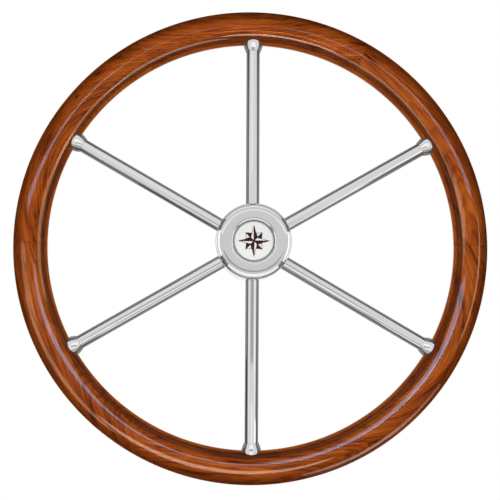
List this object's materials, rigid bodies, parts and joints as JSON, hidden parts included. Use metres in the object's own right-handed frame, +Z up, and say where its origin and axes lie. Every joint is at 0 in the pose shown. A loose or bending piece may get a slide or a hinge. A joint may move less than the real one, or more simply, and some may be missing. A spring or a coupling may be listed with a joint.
{
  "type": "boat steering wheel",
  "caption": "Round wood-rim boat steering wheel with round steel spokes, bell ferrules, a deep round hub with a keyed shaft bore and a capped centre with a compass rose.",
  "frame": {"origin": "on the shaft's axis, in the mid-plane of the rim", "axes": "+Z up along the top spoke, -Y towards the steersman, +Y towards the helm along the shaft bore, +X to the steersman's right"},
  "size_m": [0.45, 0.066, 0.45],
  "materials": {
    "varnished_wood": "reddish brown hardwood with dark streaks under thick gloss varnish",
    "dowel_wood": "plain pale dowel",
    "polished_stainless": "mirror polished stainless steel",
    "stud_steel": "plain stainless threaded rod",
    "seal_rubber": "matt black rubber",
    "white_enamel": "glossy white",
    "dark_enamel": "glossy brown-black"
  },
  "bodies": {
    "root": {"rim_felloe_1": "varnished_wood", "felloe_dowel_1_front": "dowel_wood", "felloe_dowel_1_back": "dowel_wood", "spoke_1": "polished_stainless", "spoke_ferrule_1": "polished_stainless", "rim_stud_1": "stud_steel", "hub_stud_1": "stud_steel", "rim_felloe_2": "varnished_wood", "felloe_dowel_2_front": "dowel_wood", "felloe_dowel_2_back": "dowel_wood", "spoke_2": "polished_stainless", "spoke_ferrule_2": "polished_stainless", "rim_stud_2": "stud_steel", "hub_stud_2": "stud_steel", "rim_felloe_3": "varnished_wood", "felloe_dowel_3_front": "dowel_wood", "felloe_dowel_3_back": "dowel_wood", "spoke_3": "polished_stainless", "spoke_ferrule_3": "polished_stainless", "rim_stud_3": "stud_steel", "hub_stud_3": "stud_steel", "rim_felloe_4": "varnished_wood", "felloe_dowel_4_front": "dowel_wood", "felloe_dowel_4_back": "dowel_wood", "spoke_4": "polished_stainless", "spoke_ferrule_4": "polished_stainless", "rim_stud_4": "stud_steel", "hub_stud_4": "stud_steel", "rim_felloe_5": "varnished_wood", "felloe_dowel_5_front": "dowel_wood", "felloe_dowel_5_back": "dowel_wood", "spoke_5": "polished_stainless", "spoke_ferrule_5": "polished_stainless", "rim_stud_5": "stud_steel", "hub_stud_5": "stud_steel", "rim_felloe_6": "varnished_wood", "felloe_dowel_6_front": "dowel_wood", "felloe_dowel_6_back": "dowel_wood", "spoke_6": "polished_stainless", "spoke_ferrule_6": "polished_stainless", "rim_stud_6": "stud_steel", "hub_stud_6": "stud_steel", "hub": "polished_stainless", "hub_cap": "polished_stainless", "cap_seal_ring": "seal_rubber", "cap_badge": "white_enamel", "compass_rose": "dark_enamel"}
  },
  "joints": []
}
